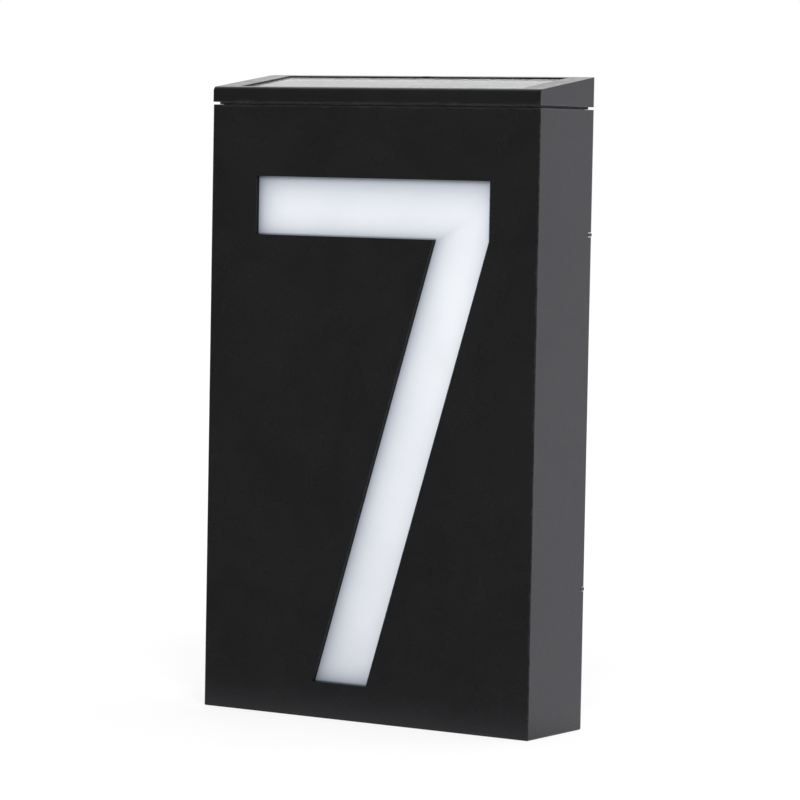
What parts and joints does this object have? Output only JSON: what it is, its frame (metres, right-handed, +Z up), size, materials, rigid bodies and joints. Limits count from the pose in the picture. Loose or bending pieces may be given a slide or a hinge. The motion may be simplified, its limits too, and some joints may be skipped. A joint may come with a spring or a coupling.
{
  "type": "illuminated house number sign",
  "caption": "Shallow upright box with a numeral cut through its front over a white panel, lit from a sloping solar head that lifts out of the top.",
  "frame": {"origin": "middle of the rear cover's wall face", "axes": "+X across the front to the viewer's right, +Y into the wall, +Z up"},
  "size_m": [0.12, 0.032, 0.2],
  "materials": {
    "case_black": "satin black moulded",
    "opal_white": "translucent satin",
    "white_plastic": "white gloss inside",
    "screw_steel": "zinc plated",
    "seal_foam": "closed-cell foam",
    "panel_clear": "clear, glossy",
    "cell_blue": "dark blue silicon with fine lines",
    "tinned_ribbon": "tinned",
    "board_white": "white lacquered board",
    "board_green": "green lacquered board",
    "tape_foam": "double-sided foam",
    "window_clear": "clear moulded",
    "lamp_yellow": "phosphor in a white case",
    "chip_black": "moulded epoxy",
    "ferrite_grey": "ferrite",
    "can_sleeve": "shrink sleeve",
    "switch_steel": "folded tinplate",
    "contact_nickel": "nickel plated spring steel",
    "battery_sleeve": "plain green shrink sleeve",
    "knob_grey": "moulded",
    "lead_pvc": "PVC insulation"
  },
  "bodies": {
    "box": {"housing": "case_black", "diffuser": "opal_white", "reflector": "white_plastic", "reflector_screws": "screw_steel", "rear_cover": "case_black", "rear_cover_screws": "screw_steel"},
    "head": {"head_frame": "case_black", "head_tray": "case_black", "head_seal": "seal_foam", "head_screws": "screw_steel", "panel_cover": "panel_clear", "solar_cells": "cell_blue", "cell_ribbons": "tinned_ribbon", "panel_board": "board_white", "panel_tape": "tape_foam", "led_window": "window_clear", "led_board": "board_white", "led_board_screws": "screw_steel", "leds": "lamp_yellow", "circuit_board": "board_green", "circuit_board_screws": "screw_steel", "charge_chip": "chip_black", "inductor": "ferrite_grey", "capacitor": "can_sleeve", "switch_body": "switch_steel", "battery_cell": "battery_sleeve", "battery_plate": "contact_nickel", "battery_spring": "contact_nickel", "battery_leads": "lead_pvc", "lamp_leads": "lead_pvc", "panel_leads": "lead_pvc"},
    "knob": {"switch_knob": "knob_grey"},
    "door": {"battery_door": "case_black"}
  },
  "joints": [
    {"name": "head_lift", "type": "slide", "parent": "box", "child": "head", "axis": [0, 0, 1], "range_m": [0, 0.03]},
    {"name": "switch_slide", "type": "slide", "parent": "head", "child": "knob", "axis": [1, 0, 0], "range_m": [0, 0.003]},
    {"name": "door_swing", "type": "hinge", "parent": "head", "child": "door", "pos_m": [0, -0.0054, 0.0778], "axis": [1, 0, 0], "range_deg": [0, 80]}
  ]
}
